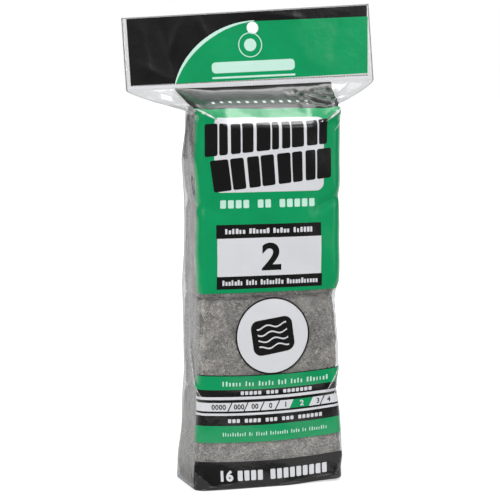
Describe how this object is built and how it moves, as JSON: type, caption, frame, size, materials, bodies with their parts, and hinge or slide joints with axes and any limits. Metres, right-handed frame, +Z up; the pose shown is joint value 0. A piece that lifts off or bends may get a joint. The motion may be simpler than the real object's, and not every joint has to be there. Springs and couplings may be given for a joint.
{
  "type": "bagged pack of steel wool pads",
  "caption": "Tall sealed pack of steel wool pads in a printed clear film bag, closed at the top into a flat, wider header with a hole for a display peg.",
  "frame": {"origin": "on the surface that the pack stands on, under the middle of the bag", "axes": "+Z up, along the pack's length to the header; the printed front faces -Y; +X is to the right seen from the front"},
  "size_m": [0.188, 0.0718, 0.3489],
  "materials": {
    "film": "clear glossy film with green, black and white print",
    "steel_wool": "medium coarse steel wool, matted grey fibres"
  },
  "bodies": {
    "root": {"film_bag": "film", "pad_row1_layer1": "steel_wool", "pad_row1_layer2": "steel_wool", "pad_row1_layer3": "steel_wool", "pad_row1_layer4": "steel_wool", "pad_row2_layer1": "steel_wool", "pad_row2_layer2": "steel_wool", "pad_row2_layer3": "steel_wool", "pad_row2_layer4": "steel_wool", "pad_row3_layer1": "steel_wool", "pad_row3_layer2": "steel_wool", "pad_row3_layer3": "steel_wool", "pad_row3_layer4": "steel_wool", "pad_row4_layer1": "steel_wool", "pad_row4_layer2": "steel_wool", "pad_row4_layer3": "steel_wool", "pad_row4_layer4": "steel_wool"}
  },
  "joints": []
}
